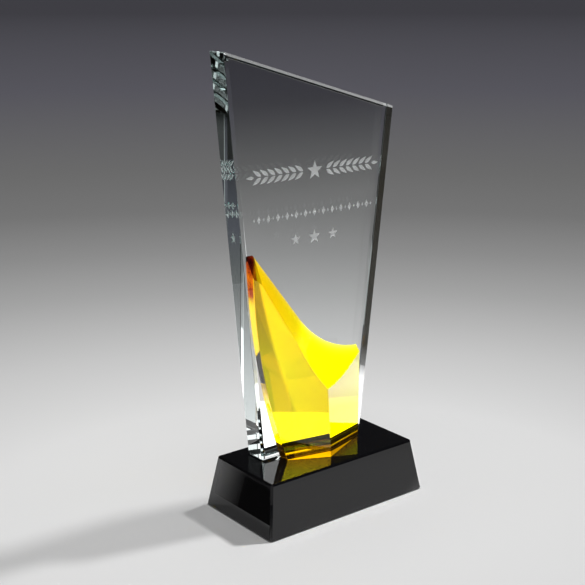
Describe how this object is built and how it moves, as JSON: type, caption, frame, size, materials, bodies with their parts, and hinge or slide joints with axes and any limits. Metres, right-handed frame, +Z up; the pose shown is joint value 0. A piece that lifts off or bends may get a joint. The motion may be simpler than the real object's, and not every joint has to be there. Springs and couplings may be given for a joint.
{
  "type": "crystal award trophy",
  "caption": "Free-standing crystal award: a clear upright slab with a slanted top, a faceted amber accent bonded in front, on a black plinth.",
  "frame": {"origin": "middle of the underside, where the felt pad rests on the table", "axes": "+Z up; -Y towards the front, the side with the amber accent; +X to the viewer's right, towards the low end of the slanted top"},
  "size_m": [0.1138, 0.06, 0.2518],
  "materials": {
    "pad_felt": "short flocked felt",
    "pad_glue": "thin double-sided adhesive sheet",
    "black_crystal": "polished, opaque black",
    "clear_bond": "clear cured optical adhesive",
    "clear_crystal": "polished, with a sandblasted ornament",
    "amber_crystal": "polished, amber tinted"
  },
  "bodies": {
    "root": {"base_pad": "pad_felt", "pad_adhesive": "pad_glue", "plinth": "black_crystal", "plaque_bond": "clear_bond", "crystal_plaque": "clear_crystal", "accent_foot_bond": "clear_bond", "accent_back_bond": "clear_bond", "amber_accent": "amber_crystal"}
  },
  "joints": []
}
